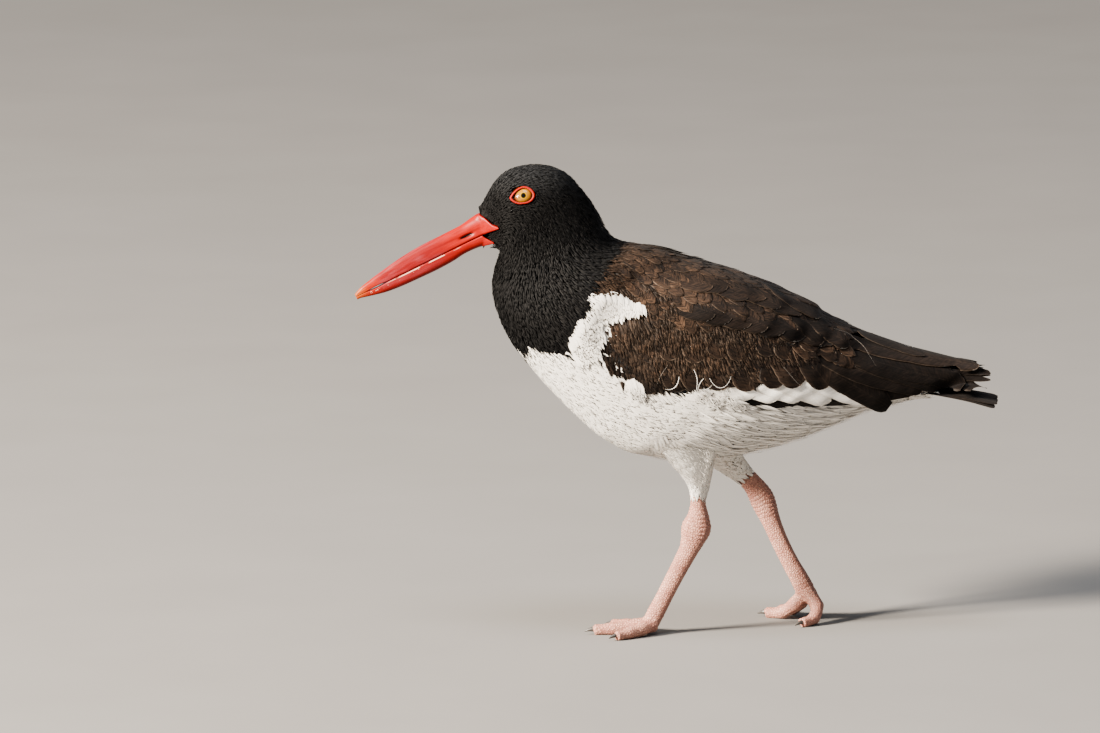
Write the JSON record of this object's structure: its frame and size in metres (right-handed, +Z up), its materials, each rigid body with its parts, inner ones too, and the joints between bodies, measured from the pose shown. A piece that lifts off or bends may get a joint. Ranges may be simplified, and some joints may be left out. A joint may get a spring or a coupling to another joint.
{
  "type": "oystercatcher",
  "caption": "Still, life-size American oystercatcher in mid-stride, with a long red bill, a black hood, brown wings, white underparts and pink legs.",
  "frame": {"origin": "the point on the floor under the middle of the bird's bounding box", "axes": "the bird faces -X and its tail points to +X, its left side is -Y and its right side +Y, and +Z is up"},
  "size_m": [0.3664, 0.0999, 0.2694],
  "materials": {
    "black_plumage": "matte, faintly glossy",
    "torso_plumage": "matte",
    "white_plumage": "matte",
    "brown_plumage": "matte, faintly glossy",
    "tail_plumage": "matte, faintly glossy",
    "bill_horn": "satin",
    "eye_iris": "wet gloss",
    "lid_flesh": "satin",
    "leg_skin": "satin, finely scaled",
    "claw_horn": "satin"
  },
  "bodies": {
    "root": {"head": "black_plumage", "neck": "black_plumage", "torso": "torso_plumage", "tail": "tail_plumage", "wing_left": "brown_plumage", "wing_right": "brown_plumage", "bill_upper": "bill_horn", "bill_lower": "bill_horn", "eye_left": "eye_iris", "eye_right": "eye_iris", "eyelid_left": "lid_flesh", "eyelid_right": "lid_flesh", "thigh_left": "white_plumage", "thigh_right": "white_plumage", "shank_left": "leg_skin", "shank_right": "leg_skin", "tarsus_left": "leg_skin", "tarsus_right": "leg_skin", "foot_left": "leg_skin", "foot_right": "leg_skin", "claw_left_inner": "claw_horn", "claw_left_middle": "claw_horn", "claw_left_outer": "claw_horn", "claw_right_inner": "claw_horn", "claw_right_middle": "claw_horn", "claw_right_outer": "claw_horn"}
  },
  "joints": []
}
